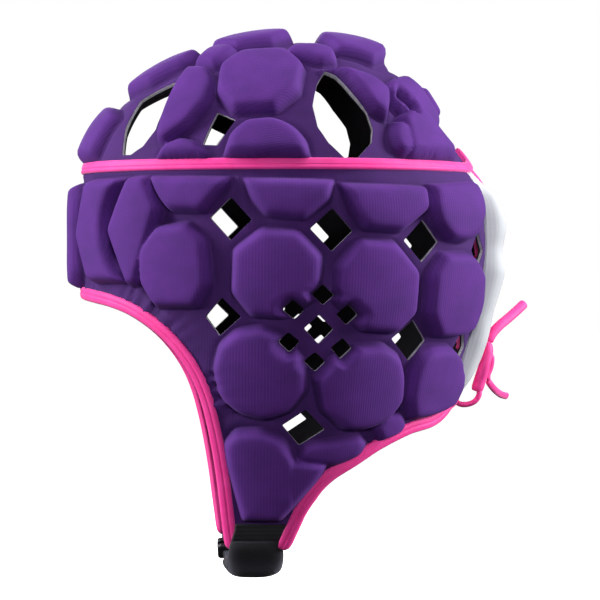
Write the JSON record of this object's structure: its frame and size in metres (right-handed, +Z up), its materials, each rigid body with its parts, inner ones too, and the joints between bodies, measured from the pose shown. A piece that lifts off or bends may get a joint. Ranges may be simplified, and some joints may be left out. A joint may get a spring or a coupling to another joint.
{
  "type": "rugby scrum cap",
  "caption": "Padded rugby scrum cap in its worn shape: vented crown, sides with ear and chin flaps, taped edges, laced back and a fastened chin strap.",
  "frame": {"origin": "inside of the crown at its top, where the cap sits on the head", "axes": "+Z up, -Y toward the front of the cap, +X toward the wearer's left"},
  "size_m": [0.178, 0.2328, 0.2725],
  "materials": {
    "purple_cloth": "knitted cover over foam",
    "pink_tape": "woven binding tape",
    "white_cloth": "knitted cover over foam",
    "black_webbing": "elastic webbing and padded sleeve",
    "black_plastic": "satin moulded",
    "pink_lace": "flat tubular lace"
  },
  "bodies": {
    "root": {"crown_panel": "purple_cloth", "side_panel": "purple_cloth", "back_panel_left": "white_cloth", "back_panel_right": "white_cloth", "crown_binding": "pink_tape", "face_binding": "pink_tape", "rear_binding_left": "pink_tape", "rear_binding_right": "pink_tape", "chin_strap": "black_webbing", "chin_sleeve": "black_webbing", "buckle": "black_plastic", "lace": "pink_lace", "lace_knot": "pink_lace", "lace_end_long": "pink_lace", "lace_end_short": "pink_lace"}
  },
  "joints": []
}
